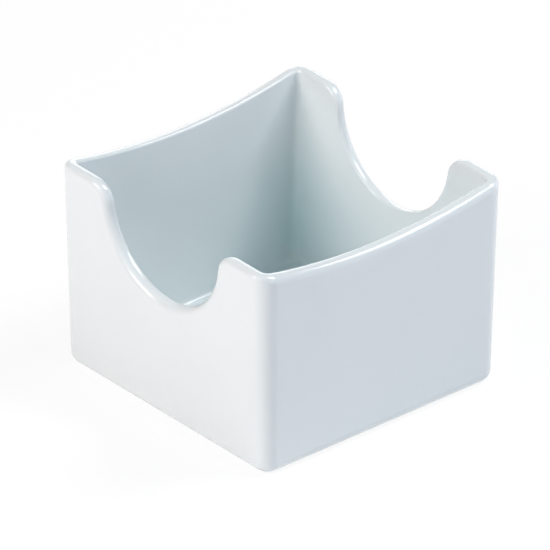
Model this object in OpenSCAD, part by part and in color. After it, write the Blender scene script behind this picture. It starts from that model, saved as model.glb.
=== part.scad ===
// Square table caddy for sugar packets, moulded in one piece, in millimetres.
// It stands on z = 0, centred on the Z axis. The walls at +X and -X have the deep finger notches.
// The walls at +Y and -Y have plain tops, which dip in one shallow arc from corner to corner.

/* [Body] */
// Width across the rim, from one notched wall to the other
body_w = 82.5; // [72:0.5:110]
// Depth across the rim, from one plain wall to the other
body_d = 82.5; // [76:0.5:110]
// Height at the corners
body_h = 60.5; // [50:0.1:80]
// Thickness of the walls
wall_t = 3.4; // [3.2:0.1:5]
// Thickness of the floor above its foot
floor_t = 4; // [3:0.1:8]
// Lean of the notched walls, from upright
notched_wall_draft = 1.7; // [0:0.1:3]
// Lean of the plain walls, from upright
plain_wall_draft = 1; // [0:0.1:3]

/* [Corners and edges] */
// Outer radius of the upright corners, at the rim
rim_corner_r = 5; // [3:0.1:8]
// Outer radius of the upright corners, at the base
base_corner_r = 4.3; // [2.5:0.1:6]
// Inner radius of the upright corners, at the rim
inner_rim_corner_r = 1.6; // [0.4:0.1:4]
// Inner radius of the upright corners, at the floor
inner_floor_corner_r = 2.6; // [0.4:0.1:4]
// Radius of the outer edge of the rim
rim_outer_r = 2.2; // [0.4:0.1:2.3]
// Radius of the inner edge of the rim
rim_inner_r = 0.8; // [0.3:0.1:0.8]
// Radius round the lower edge of the body
base_edge_r = 3.6; // [0.6:0.1:4]
// Radius where the floor meets the walls
floor_edge_r = 1.6; // [0.5:0.1:4]

/* [Rim line] */
// How far the top dips between the corners
dip_depth = 4.8; // [1:0.1:9]
// Radius of the finger notch
notch_r = 21.8; // [14:0.1:25]
// How far the centre of the notch lies below the corners
notch_drop = 3.2; // [0:0.1:6]
// Radius of the shoulders that lead into the notch
shoulder_r = 6.4; // [3:0.1:7.5]

/* [Underside] */
// Width of the flat foot that the body stands on
foot_w = 4; // [2:0.1:8]
// Depth of the recess inside the foot
recess_depth = 0.8; // [0.3:0.1:1.5]
// Width of the sloping edge of the recess
recess_slope_w = 1.2; // [0.5:0.1:3]
// Corner radius of the recess
recess_corner_r = 5; // [2:0.1:10]

/* [Hidden] */

// Steps along each stretch of a quarter of the rim, and round each rounded edge
arc_steps = 16;
shoulder_steps = 7;
flat_steps = 2;
corner_steps = 6;
dip_steps = 9;
edge_steps = 4;

// The top is cut by one arc that runs across X, so the notched walls' tops slope a little inwards
half_w = body_w / 2;
half_d = body_d / 2;
dip_r = (half_w * half_w + dip_depth * dip_depth) / (2 * dip_depth);
notch_z = body_h - notch_drop;
function top_z(x) = body_h - dip_depth + dip_r - sqrt(dip_r * dip_r - x * x);

// Size of the outline and its corners at a height, at a share of the wall's thickness from outside
function mix(a, b, share) = a + (b - a) * share;
function drop_share(z) = (body_h - z) / body_h;
function outline_x(z, inset) = half_w - (body_h - z) * tan(notched_wall_draft) - inset;
function outline_y(z, inset) = half_d - (body_h - z) * tan(plain_wall_draft) - inset;
function outer_corner_r(z) = mix(rim_corner_r, base_corner_r, drop_share(z));
function inner_corner_r(z) = mix(inner_rim_corner_r, inner_floor_corner_r, drop_share(z));
function wall_corner_r(z, inset) = mix(outer_corner_r(z), inner_corner_r(z), inset / wall_t);

// Where the notch's circle hands over to the shoulder's, for a top line at a height
function handover(top) = asin((top - shoulder_r - notch_z) / (notch_r + shoulder_r));
function shoulder_s(top) = (notch_r + shoulder_r) * cos(handover(top));

// Half of a notched wall's top line from its middle outwards: a list of [s, z, normal s, normal z]
function notch_line(top, end_s) =
    let (turn = handover(top), s = shoulder_s(top), z = top - shoulder_r)
    concat(
        [for (i = [0:arc_steps - 1])
            let (a = mix(-90, turn, i / arc_steps))
            [notch_r * cos(a), notch_z + notch_r * sin(a), -cos(a), -sin(a)]],
        [for (i = [0:shoulder_steps - 1])
            let (a = mix(turn + 180, 90, i / shoulder_steps))
            [s + shoulder_r * cos(a), z + shoulder_r * sin(a), cos(a), sin(a)]],
        [for (i = [0:flat_steps - 1])
            [mix(s, end_s, i / flat_steps), top, 0, 1]]);

// Shares of a notched wall's half length, spaced as its top line is
outer_end_s = half_d - rim_corner_r;
first_line = notch_line(body_h, outer_end_s);
function step_length(i) =
    let (a = first_line[i - 1], b = first_line[i])
    norm([b[0] - a[0], b[1] - a[1]]);
function travelled(i) = i == 0 ? 0 : travelled(i - 1) + step_length(i);
line_length = travelled(len(first_line) - 1) + (outer_end_s - shoulder_s(body_h)) / flat_steps;
wall_shares = [for (i = [0:len(first_line) - 1]) travelled(i) / line_length];
corner_shares = [for (i = [0:corner_steps - 1]) i / corner_steps];
dip_shares = [for (i = [0:dip_steps]) 1 - i / dip_steps];

// A quarter of a level ring, from the middle of the wall at +X to the middle of the wall at +Y
function level_quarter(hx, hy, r, z) = concat(
    [for (share = wall_shares) [hx, (hy - r) * share, z]],
    [for (share = corner_shares) [hx - r + r * cos(90 * share), hy - r + r * sin(90 * share), z]],
    [for (share = dip_shares) [(hx - r) * share, hy, z]]);

// A quarter of a ring round the rim, at an inset from the outer face and a depth below the top
function rim_quarter(inset, depth) =
    let (
        r = wall_corner_r(body_h, inset),
        line = notch_line(top_z(half_w - inset), half_d - inset - r),
        edge = level_quarter(half_w - inset, half_d - inset, r, body_h),
        last = len(line) - 1)
    [for (i = [0:len(edge) - 1])
        i <= last
        ? let (s = line[i][0] - line[i][2] * depth, z = line[i][1] - line[i][3] * depth)
            [outline_x(z, inset), s, z]
        : let (z = top_z(edge[i][0]) - depth)
            [edge[i][0] + outline_x(z, 0) - half_w, edge[i][1] + outline_y(z, 0) - half_d, z]];

// A whole ring from its quarter, mirrored across both middles
function whole(quarter) =
    let (n = len(quarter) - 1)
    concat(
        [for (i = [0:n - 1]) quarter[i]],
        [for (i = [0:n - 1]) let (p = quarter[n - i]) [-p[0], p[1], p[2]]],
        [for (i = [0:n - 1]) let (p = quarter[i]) [-p[0], -p[1], p[2]]],
        [for (i = [0:n - 1]) let (p = quarter[n - i]) [p[0], -p[1], p[2]]]);

// A level ring on the outer or inner face of the wall, drawn in by a further inset
function rounded(r, inset, least) = max(r - inset, least);
function outer_ring(z_wall, inset, z) =
    let (r = rounded(outer_corner_r(z_wall), inset, base_corner_r / 4))
    whole(level_quarter(outline_x(z_wall, inset), outline_y(z_wall, inset), r, z));
function inner_ring(z_wall, inset, z) =
    let (r = rounded(inner_corner_r(z_wall), inset, inner_floor_corner_r / 4))
    whole(level_quarter(outline_x(z_wall, wall_t + inset), outline_y(z_wall, wall_t + inset), r, z));
function recess_ring(inset, z) =
    whole(level_quarter(outline_x(0, inset), outline_y(0, inset), recess_corner_r, z));

// The skin's rings, from the recess under the base, up outside, over the rim and down to the floor
foot_inset = base_edge_r + foot_w;
floor_wall_z = floor_t + floor_edge_r;
turns = [for (i = [0:edge_steps]) 90 * i / edge_steps];
rings = concat(
    [recess_ring(foot_inset + recess_slope_w, recess_depth), recess_ring(foot_inset, 0)],
    [for (a = turns) outer_ring(base_edge_r, base_edge_r * (1 - sin(a)), base_edge_r * (1 - cos(a)))],
    [for (a = turns) whole(rim_quarter(rim_outer_r * (1 - cos(a)), rim_outer_r * (1 - sin(a))))],
    [for (a = turns) whole(rim_quarter(wall_t - rim_inner_r * (1 - sin(a)), rim_inner_r * (1 - cos(a))))],
    [for (a = turns) inner_ring(floor_wall_z, floor_edge_r * (1 - cos(a)), floor_wall_z - floor_edge_r * sin(a))]);
ring_size = len(rings[0]);
ring_count = len(rings);
under_middle = ring_size * ring_count;
floor_middle = under_middle + 1;
skin_points = concat(
    [for (ring = rings) each ring],
    [[0, 0, recess_depth], [0, 0, floor_t]]);

// Two triangles between neighbouring rings, and a fan over each end
function skin_quad(k, i) =
    let (
        j = (i + 1) % ring_size,
        a = k * ring_size + i,
        b = k * ring_size + j,
        c = a + ring_size,
        d = b + ring_size)
    [[a, c, b], [b, c, d]];
skin_faces = concat(
    [for (k = [0:ring_count - 2], i = [0:ring_size - 1]) each skin_quad(k, i)],
    [for (i = [0:ring_size - 1]) [under_middle, i, (i + 1) % ring_size]],
    [for (i = [0:ring_size - 1])
        let (top = (ring_count - 1) * ring_size)
        [floor_middle, top + (i + 1) % ring_size, top + i]]);

// The moulded caddy: floor, four walls, rim, notches and foot in one skin
module caddy_body() {
    color([0.85, 0.89, 0.91])
    polyhedron(points = skin_points, faces = skin_faces, convexity = 6);
}

caddy_body();
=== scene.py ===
"""Moulded white caddy for sugar packets, on a pale floor under soft studio lamps. Lengths are in metres."""
import math

import bpy
import numpy as np
from mathutils import Matrix, Vector


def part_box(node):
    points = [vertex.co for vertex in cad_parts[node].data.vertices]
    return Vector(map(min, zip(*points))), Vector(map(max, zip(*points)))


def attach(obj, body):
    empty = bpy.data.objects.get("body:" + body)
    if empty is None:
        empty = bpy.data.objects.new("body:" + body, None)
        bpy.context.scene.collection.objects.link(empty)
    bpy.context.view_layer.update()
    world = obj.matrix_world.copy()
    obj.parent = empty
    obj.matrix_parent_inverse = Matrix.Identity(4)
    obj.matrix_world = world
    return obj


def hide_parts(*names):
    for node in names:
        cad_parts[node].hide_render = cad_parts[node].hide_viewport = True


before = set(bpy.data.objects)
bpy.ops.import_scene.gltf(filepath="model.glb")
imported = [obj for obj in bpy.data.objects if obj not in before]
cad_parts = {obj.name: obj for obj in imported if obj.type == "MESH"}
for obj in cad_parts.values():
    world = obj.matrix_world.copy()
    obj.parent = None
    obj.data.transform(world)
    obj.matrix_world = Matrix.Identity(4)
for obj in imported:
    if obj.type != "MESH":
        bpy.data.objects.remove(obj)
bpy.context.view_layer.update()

# Sizes of the body, as in the part's source. The overall ones are worked out below from the frame.
mm = 0.001
WALL_T = 3.4 * mm
FLOOR_T = 4 * mm
NOTCHED_WALL_LEAN = math.tan(math.radians(1.7))
PLAIN_WALL_LEAN = math.tan(math.radians(1))
RIM_CORNER_R = 5 * mm
BASE_CORNER_R = 4.3 * mm
INNER_RIM_CORNER_R = 1.6 * mm
INNER_FLOOR_CORNER_R = 2.6 * mm
RIM_OUTER_R = 2.2 * mm
RIM_INNER_R = 0.8 * mm
BASE_EDGE_R = 3.6 * mm
FLOOR_EDGE_R = 1.6 * mm
DIP_DEPTH = 4.8 * mm
NOTCH_R = 21.8 * mm
NOTCH_DROP = 3.2 * mm
SHOULDER_R = 6.4 * mm
FOOT_W = 4 * mm
RECESS_DEPTH = 0.8 * mm
RECESS_SLOPE_W = 1.2 * mm
RECESS_CORNER_R = 5 * mm

# Steps along each stretch of a quarter of the rim, round each rounded edge, and across each face
ARC_STEPS = 48
SHOULDER_STEPS = 20
FLAT_STEPS = 6
CORNER_STEPS = 16
DIP_STEPS = 28
EDGE_STEPS = 10
WALL_STEPS = 10
LAND_STEPS = 3
PANEL_STEPS = 8

# Width and the arc across the top: the rim's rounded edge and the walls' lean take a little off the box
TURNS = np.linspace(0, math.pi / 2, EDGE_STEPS + 1)
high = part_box("caddy_body")[1]
HALF_W = high.x + RIM_OUTER_R * NOTCHED_WALL_LEAN
DIP_R = (HALF_W ** 2 + DIP_DEPTH ** 2) / (2 * DIP_DEPTH)


def dip_rise(x):
    """How far the top line at x lies above its lowest point."""
    return DIP_R - np.sqrt(DIP_R ** 2 - np.square(x))


# Height and depth, from the box as well
EDGE_RISE = dip_rise(HALF_W - RIM_OUTER_R * (1 - np.cos(TURNS))) - RIM_OUTER_R * (1 - np.sin(TURNS))
BODY_H = high.z + DIP_DEPTH - EDGE_RISE.max()
HALF_D = high.y + (DIP_DEPTH - dip_rise(HALF_W - RIM_CORNER_R) + RIM_OUTER_R) * PLAIN_WALL_LEAN
NOTCH_Z = BODY_H - NOTCH_DROP


def top_z(x):
    return BODY_H - DIP_DEPTH + dip_rise(x)


def mix(a, b, share):
    return a + (b - a) * share


def outline_x(z, inset):
    return HALF_W - (BODY_H - z) * NOTCHED_WALL_LEAN - inset


def outline_y(z, inset):
    return HALF_D - (BODY_H - z) * PLAIN_WALL_LEAN - inset


def corner_r(z, inset):
    """Radius of the upright corners at a height, at an inset from the outer face."""
    drop = (BODY_H - z) / BODY_H
    outer = mix(RIM_CORNER_R, BASE_CORNER_R, drop)
    inner = mix(INNER_RIM_CORNER_R, INNER_FLOOR_CORNER_R, drop)
    return mix(outer, inner, inset / WALL_T)


def notch_line(top, end):
    """Half of a notched wall's top line from its middle outwards: rows of place, height and normal."""
    turn = math.asin((top - SHOULDER_R - NOTCH_Z) / (NOTCH_R + SHOULDER_R))
    a = mix(-math.pi / 2, turn, np.arange(ARC_STEPS) / ARC_STEPS)
    arc = np.stack([NOTCH_R * np.cos(a), NOTCH_Z + NOTCH_R * np.sin(a), -np.cos(a), -np.sin(a)], 1)
    middle = (NOTCH_R + SHOULDER_R) * math.cos(turn)
    a = mix(turn + math.pi, math.pi / 2, np.arange(SHOULDER_STEPS) / SHOULDER_STEPS)
    cos, sin = np.cos(a), np.sin(a)
    shoulder = np.stack([middle + SHOULDER_R * cos, top - SHOULDER_R + SHOULDER_R * sin, cos, sin], 1)
    s = mix(middle, end, np.arange(FLAT_STEPS) / FLAT_STEPS)
    flat = np.stack([s, np.full_like(s, top), np.zeros_like(s), np.ones_like(s)], 1)
    return np.concatenate([arc, shoulder, flat])


def wall_shares():
    """Shares of a notched wall's half length, spaced as its top line is."""
    end = HALF_D - RIM_CORNER_R
    line = np.concatenate([notch_line(BODY_H, end)[:, :2], [[end, BODY_H]]])
    travelled = np.concatenate([[0], np.cumsum(np.hypot(*np.diff(line, axis=0).T))])
    return travelled[:-1] / travelled[-1]


ALONG_WALL = wall_shares()
ROUND_CORNER = np.arange(CORNER_STEPS) / CORNER_STEPS * math.pi / 2
ALONG_DIP = 1 - np.arange(DIP_STEPS + 1) / DIP_STEPS


def level_quarter(hx, hy, r, z):
    """A quarter of a level ring, from the middle of the wall at +X to the middle of the wall at +Y."""
    x = np.concatenate([
        np.full_like(ALONG_WALL, hx), hx - r + r * np.cos(ROUND_CORNER), (hx - r) * ALONG_DIP])
    y = np.concatenate([
        (hy - r) * ALONG_WALL, hy - r + r * np.sin(ROUND_CORNER), np.full_like(ALONG_DIP, hy)])
    return np.stack([x, y, np.full_like(x, z)], 1)


def rim_quarter(inset, depth):
    """A quarter of a ring round the rim, at an inset from the outer face and a depth below the top."""
    r = corner_r(BODY_H, inset)
    edge = level_quarter(HALF_W - inset, HALF_D - inset, r, BODY_H)
    line = notch_line(top_z(HALF_W - inset), HALF_D - inset - r)
    z = line[:, 1] - line[:, 3] * depth
    notched = np.stack([outline_x(z, inset), line[:, 0] - line[:, 2] * depth, z], 1)
    x, y = edge[len(line):, 0], edge[len(line):, 1]
    z = top_z(x) - depth
    plain = np.stack([x + outline_x(z, 0) - HALF_W, y + outline_y(z, 0) - HALF_D, z], 1)
    return np.concatenate([notched, plain])


def whole(quarter):
    """A whole ring from its quarter, mirrored across both middles."""
    there, back = quarter[:-1], quarter[:0:-1]
    turns = ((there, 1, 1), (back, -1, 1), (there, -1, -1), (back, 1, -1))
    return np.concatenate([part * (sx, sy, 1) for part, sx, sy in turns])


def wall_ring(z_wall, inset, extra, z):
    """A level ring on a face of the wall, drawn in by an extra inset."""
    r = max(corner_r(z_wall, inset) - extra, corner_r(0, inset) / 4)
    return whole(level_quarter(
        outline_x(z_wall, inset + extra), outline_y(z_wall, inset + extra), r, z))


def rim_ring(inset, depth):
    return whole(rim_quarter(inset, depth))


def recess_ring(inset, z):
    return whole(level_quarter(outline_x(0, inset), outline_y(0, inset), RECESS_CORNER_R, z))


def between(first, last, steps):
    """Rings evenly spaced from one to the next, or to a point, without the two themselves."""
    return [mix(first, last, k / steps) for k in range(1, steps)]


def panel(ring):
    """Rings that shrink from a level ring towards its middle."""
    return between(ring, np.array([0, 0, ring[0][2]]), PANEL_STEPS)


def skin_rings():
    """The skin's rings, from the recess under the base, up outside, over the rim and down to the floor.

    The rings of a rounded edge lie at shares of its radius, one that rises to 1 and one that falls from it.
    """
    foot_inset = BASE_EDGE_R + FOOT_W
    floor_wall_z = FLOOR_T + FLOOR_EDGE_R
    rounding = [(1 - math.cos(a), 1 - math.sin(a)) for a in TURNS]
    recess = recess_ring(foot_inset + RECESS_SLOPE_W, RECESS_DEPTH)
    foot = recess_ring(foot_inset, 0)
    base_edge = [
        wall_ring(BASE_EDGE_R, 0, BASE_EDGE_R * falling, BASE_EDGE_R * rising)
        for rising, falling in rounding]
    rim_outer = [rim_ring(RIM_OUTER_R * rising, RIM_OUTER_R * falling) for rising, falling in rounding]
    land = [
        rim_ring(mix(RIM_OUTER_R, WALL_T - RIM_INNER_R, k / LAND_STEPS), 0)
        for k in range(1, LAND_STEPS)]
    rim_inner = [
        rim_ring(WALL_T - RIM_INNER_R * falling, RIM_INNER_R * rising)
        for rising, falling in rounding]
    floor_edge = [
        wall_ring(floor_wall_z, WALL_T, FLOOR_EDGE_R * rising, FLOOR_T + FLOOR_EDGE_R * falling)
        for rising, falling in rounding]
    return [
        *reversed(panel(recess)), recess, foot, *between(foot, base_edge[0], LAND_STEPS),
        *base_edge, *between(base_edge[-1], rim_outer[0], WALL_STEPS),
        *rim_outer, *land, *rim_inner, *between(rim_inner[-1], floor_edge[0], WALL_STEPS),
        *floor_edge, *panel(floor_edge[-1])]


def caddy_mesh():
    """The whole skin as one closed mesh of quads, with a fan in the middle of each panel."""
    rings = skin_rings()
    size = len(rings[0])
    points = np.concatenate(rings + [[[0, 0, RECESS_DEPTH], [0, 0, FLOOR_T]]])
    under, inside = len(points) - 2, len(points) - 1
    ahead = [(i + 1) % size for i in range(size)]
    last = (len(rings) - 1) * size
    faces = [
        (k * size + i, k * size + ahead[i], (k + 1) * size + ahead[i], (k + 1) * size + i)
        for k in range(len(rings) - 1) for i in range(size)]
    faces += [(under, ahead[i], i) for i in range(size)]
    faces += [(inside, last + i, last + ahead[i]) for i in range(size)]
    mesh = bpy.data.meshes.new("caddy_body_skin")
    mesh.from_pydata(points.tolist(), [], faces)
    mesh.validate()
    mesh.polygons.foreach_set("use_smooth", [True] * len(mesh.polygons))
    return mesh


def node_of(tree, kind, inputs=(), **settings):
    """A shader node with its settings, and its inputs as values or as sockets to link."""
    made = tree.nodes.new(kind)
    for name, value in settings.items():
        setattr(made, name, value)
    for name, value in dict(inputs).items():
        if isinstance(value, bpy.types.NodeSocket):
            tree.links.new(value, made.inputs[name])
        else:
            made.inputs[name].default_value = value
    return made


def calc(tree, operation, *values):
    """The result of an operation on values or sockets."""
    return node_of(tree, "ShaderNodeMath", enumerate(values), operation=operation).outputs[0]


def noise(tree, place, scale, detail, roughness):
    made = node_of(tree, "ShaderNodeTexNoise", {
        "Vector": place, "Scale": scale, "Detail": detail, "Roughness": roughness})
    return made.outputs["Fac"]


def ranged(tree, value, low_in, high_in, low_out, high_out):
    """A value moved from one range to another and kept inside it."""
    made = node_of(tree, "ShaderNodeMapRange", {
        "Value": value, "From Min": low_in, "From Max": high_in, "To Min": low_out, "To Max": high_out})
    return made.outputs["Result"]


def tinted(tree, share, colour, tint):
    """A colour that turns to a tint with the share."""
    made = node_of(tree, "ShaderNodeMix", {"Factor": share, "A": colour, "B": tint}, data_type="RGBA")
    return made.outputs["Result"]


def bumped(tree, height, strength, distance, normal=None):
    """A normal bumped by a height, on top of another normal where one is given."""
    inputs = {"Height": height, "Strength": strength, "Distance": distance}
    if normal:
        inputs["Normal"] = normal
    return node_of(tree, "ShaderNodeBump", inputs).outputs["Normal"]


# Melamine with faint clouds in its colour. A row of noise is waves a metre, detail and roughness.
MELAMINE = (0.81, 0.87, 0.88, 1)
CLOUD = (0.8, 0.861, 0.872, 1)
CLOUD_NOISE = (55, 3, 0.5)
CLOUD_RANGE = (0.42, 0.68)

# Painted shade in the inner corners, a darker and greener colour where shade falls: full up to one height,
# gone above another, fading in over the floor
CORNER_PAINTED_SHADE = (0.65, 0.785, 0.79, 1)
CORNER_REACH = 20 * mm
CORNER_FULL_Z = 14 * mm
CORNER_TOP_Z = 46 * mm
CORNER_FLOOR_FADE = 6 * mm
CORNER_FACE_FADE = 0.5 * mm

# Gloss with smudges, and a foot dulled by wear
SMUDGE_NOISE = (90, 4, 0.6)
SMUDGE_RANGE = (0.35, 0.7)
SMUDGE_ROUGHNESS = (0.09, 0.15)
FOOT_ROUGHNESS = 0.3
FOOT_WEAR_H = 0.25 * mm

# Bump: broad ripples over fine grain
RIPPLE_NOISE = (420, 2, 0.5)
RIPPLE_STRENGTH = 0.05
RIPPLE_HEIGHT = 0.2 * mm
GRAIN_NOISE = (2600, 3, 0.5)
GRAIN_STRENGTH = 0.035
GRAIN_HEIGHT = 0.05 * mm


def painted_corner_shade(tree, at):
    """How much painted shade a place takes in an inner corner: 1 low in the corner, and 0 away from it and
    outside.
    """
    gaps = {}
    for axis, lean, foot in (
            ("X", NOTCHED_WALL_LEAN, outline_x(0, WALL_T)), ("Y", PLAIN_WALL_LEAN, outline_y(0, WALL_T))):
        face = calc(tree, "MULTIPLY_ADD", at["Z"], lean, foot)
        gaps[axis] = calc(tree, "SUBTRACT", face, calc(tree, "ABSOLUTE", at[axis]))
    away = node_of(tree, "ShaderNodeCombineXYZ", gaps).outputs[0]
    away = node_of(tree, "ShaderNodeVectorMath", {0: away}, operation="LENGTH").outputs["Value"]
    near = calc(tree, "POWER", ranged(tree, away, 0, CORNER_REACH, 1, 0), 2)
    inside = ranged(tree, calc(tree, "MINIMUM", *gaps.values()), -CORNER_FACE_FADE, 0, 0, 1)
    above_floor = ranged(tree, at["Z"], FLOOR_T, FLOOR_T + CORNER_FLOOR_FADE, 0, 1)
    below_rim = ranged(tree, at["Z"], CORNER_FULL_Z, CORNER_TOP_Z, 1, 0)
    across = calc(tree, "MULTIPLY", near, inside)
    return calc(tree, "MULTIPLY", across, calc(tree, "MULTIPLY", above_floor, below_rim))


def melamine():
    """Glossy moulded melamine with faint clouds, shade painted into the inner corners, smudges, a dull foot
    and ripples.
    """
    material = bpy.data.materials.new("melamine")
    material.use_nodes = True
    tree = material.node_tree
    shader = tree.nodes["Principled BSDF"].inputs
    place = tree.nodes.new("ShaderNodeTexCoord").outputs["Object"]
    at = node_of(tree, "ShaderNodeSeparateXYZ", {"Vector": place}).outputs

    clouds = ranged(tree, noise(tree, place, *CLOUD_NOISE), *CLOUD_RANGE, 0, 1)
    colour = tinted(tree, clouds, MELAMINE, CLOUD)
    # Painted shade: the colour turns darker and greener low in the inner corners, where shade falls
    tree.links.new(tinted(tree, painted_corner_shade(tree, at), colour, CORNER_PAINTED_SHADE), shader["Base Color"])

    smudges = ranged(tree, noise(tree, place, *SMUDGE_NOISE), *SMUDGE_RANGE, *SMUDGE_ROUGHNESS)
    foot_dull = ranged(tree, at["Z"], 0, FOOT_WEAR_H, FOOT_ROUGHNESS, 0)
    tree.links.new(calc(tree, "ADD", smudges, foot_dull), shader["Roughness"])

    grain = bumped(tree, noise(tree, place, *GRAIN_NOISE), GRAIN_STRENGTH, GRAIN_HEIGHT)
    ripple = bumped(tree, noise(tree, place, *RIPPLE_NOISE), RIPPLE_STRENGTH, RIPPLE_HEIGHT, grain)
    tree.links.new(ripple, shader["Normal"])
    return material


# How much the large faces set the shading at their edges, out of 100
FACE_WEIGHT = 60


def make_caddy():
    body = bpy.data.objects.new("caddy", caddy_mesh())
    bpy.context.scene.collection.objects.link(body)
    body.data.materials.append(melamine())
    weighted = body.modifiers.new("even_shading", "WEIGHTED_NORMAL")
    weighted.mode = "FACE_AREA"
    weighted.weight = FACE_WEIGHT
    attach(body, "root")
    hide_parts("caddy_body")


# Floor: what is seen of it is mostly plain white, and a share of it is paint that takes the shadow
WHITE = (1, 1, 1, 1)
FLOOR_HALF = 3
FLOOR_PAINT = (0.9, 0.9, 0.9, 1)
SHADOW_SHARE = 0.18
FLOOR_STRENGTH = 1 + SHADOW_SHARE / 3


def seen_directly(tree):
    """1 for rays from the camera and for reflections and refractions, and 0 for the rest."""
    rays = tree.nodes.new("ShaderNodeLightPath").outputs
    either = calc(tree, "MAXIMUM", rays["Is Camera Ray"], rays["Is Transmission Ray"])
    return calc(tree, "MAXIMUM", either, rays["Is Glossy Ray"])


def make_floor():
    """A pale floor that looks white to the camera and in reflections, and keeps a soft shadow."""
    corners = [(x * FLOOR_HALF, y * FLOOR_HALF, 0) for x, y in ((-1, -1), (1, -1), (1, 1), (-1, 1))]
    mesh = bpy.data.meshes.new("floor")
    mesh.from_pydata(corners, [], [(0, 1, 2, 3)])
    floor = bpy.data.objects.new("floor", mesh)
    bpy.context.scene.collection.objects.link(floor)
    material = bpy.data.materials.new("floor")
    material.use_nodes = True
    tree = material.node_tree
    tree.nodes.clear()
    paint = node_of(tree, "ShaderNodeBsdfDiffuse", {"Color": FLOOR_PAINT})
    white = node_of(tree, "ShaderNodeEmission", {"Color": WHITE, "Strength": FLOOR_STRENGTH})
    share = calc(tree, "MULTIPLY", seen_directly(tree), 1 - SHADOW_SHARE)
    blend = node_of(tree, "ShaderNodeMixShader", {0: share, 1: paint.outputs[0], 2: white.outputs[0]})
    node_of(tree, "ShaderNodeOutputMaterial", {"Surface": blend.outputs[0]})
    floor.data.materials.append(material)


def make_world():
    """A background that looks white to the camera and in reflections, and lights nothing."""
    world = bpy.data.worlds.new("studio")
    bpy.context.scene.world = world
    world.use_nodes = True
    tree = world.node_tree
    tree.nodes.clear()
    white = node_of(tree, "ShaderNodeBackground", {"Color": WHITE, "Strength": seen_directly(tree)})
    node_of(tree, "ShaderNodeOutputWorld", {"Surface": white.outputs[0]})


def direction(azimuth, elevation):
    """Unit vector from the object towards a place: azimuth 0 is the -Y side and 90 is the +X side."""
    a, e = math.radians(azimuth), math.radians(elevation)
    return Vector((math.sin(a) * math.cos(e), -math.cos(a) * math.cos(e), math.sin(e)))


# Lamps: azimuth, elevation, width, height, watts, colour
LAMPS = {
    "left": (-105, 28, 0.5, 0.5, 4.9, (1.0, 0.88, 0.86)),
    "left_front": (-75, 28, 0.5, 0.5, 1.3, (0.64, 0.95, 1.0)),
    "left_low": (-70, 5, 0.4, 0.12, 0.65, (1.0, 0.62, 0.55)),
    "front_low": (0, 11, 0.5, 0.5, 1.05, (0.82, 0.82, 1.0)),
    "front_high": (30, 55, 0.5, 0.5, 0.7, (0.05, 0.57, 1.0)),
    "front_right": (58, 54, 0.4, 0.4, 4.9, (1.0, 0.95, 0.92)),
    "right": (70, 12, 0.5, 0.5, 1.1, (1.0, 0.92, 1.0)),
    "right_back": (135, 12, 0.5, 0.5, 1.4, (0.96, 0.98, 1.0)),
}
LAMP_DISTANCE = 0.9
LAMP_AIM = Vector((0, 0, 30)) * mm


def make_lamps():
    """Soft rectangular lamps that face the object and don't show themselves."""
    for name, (azimuth, elevation, width, height, watts, colour) in LAMPS.items():
        lamp = bpy.data.lights.new(name, "AREA")
        lamp.shape = "RECTANGLE"
        lamp.size = width
        lamp.size_y = height
        lamp.energy = watts
        lamp.color = colour
        holder = bpy.data.objects.new(name, lamp)
        bpy.context.scene.collection.objects.link(holder)
        towards = direction(azimuth, elevation)
        holder.location = LAMP_AIM + towards * LAMP_DISTANCE
        holder.rotation_mode = "QUATERNION"
        holder.rotation_quaternion = towards.to_track_quat("Z", "Y")
        holder.visible_camera = False


# Camera: a long lens from the front left, fitted to the photograph's outline
CAMERA_AZIMUTH = -40.607
CAMERA_ELEVATION = 29.912
CAMERA_ROLL = math.radians(0.214)
CAMERA_DISTANCE = 4.5833
CAMERA_TARGET = Vector((-2.063, 0, 29.28)) * mm
SENSOR_W = 36
LENS = 1159.39
CLIP_START = 0.1
CLIP_END = 20


def make_camera():
    camera = bpy.data.cameras.new("camera")
    camera.sensor_width = SENSOR_W
    camera.lens = LENS
    camera.clip_start = CLIP_START
    camera.clip_end = CLIP_END
    holder = bpy.data.objects.new("camera", camera)
    bpy.context.scene.collection.objects.link(holder)
    back = direction(CAMERA_AZIMUTH, CAMERA_ELEVATION)
    right = (-back).cross(Vector((0, 0, 1))).normalized()
    up = right.cross(-back)
    cos, sin = math.cos(CAMERA_ROLL), math.sin(CAMERA_ROLL)
    turned_right = right * cos + up * sin
    turned_up = up * cos - right * sin
    place = Matrix((turned_right, turned_up, back)).transposed().to_4x4()
    place.translation = CAMERA_TARGET + back * CAMERA_DISTANCE
    holder.matrix_world = place
    bpy.context.scene.camera = holder


make_camera()
make_caddy()
make_floor()
make_world()
make_lamps()
bpy.context.scene.view_settings.view_transform = "Standard"
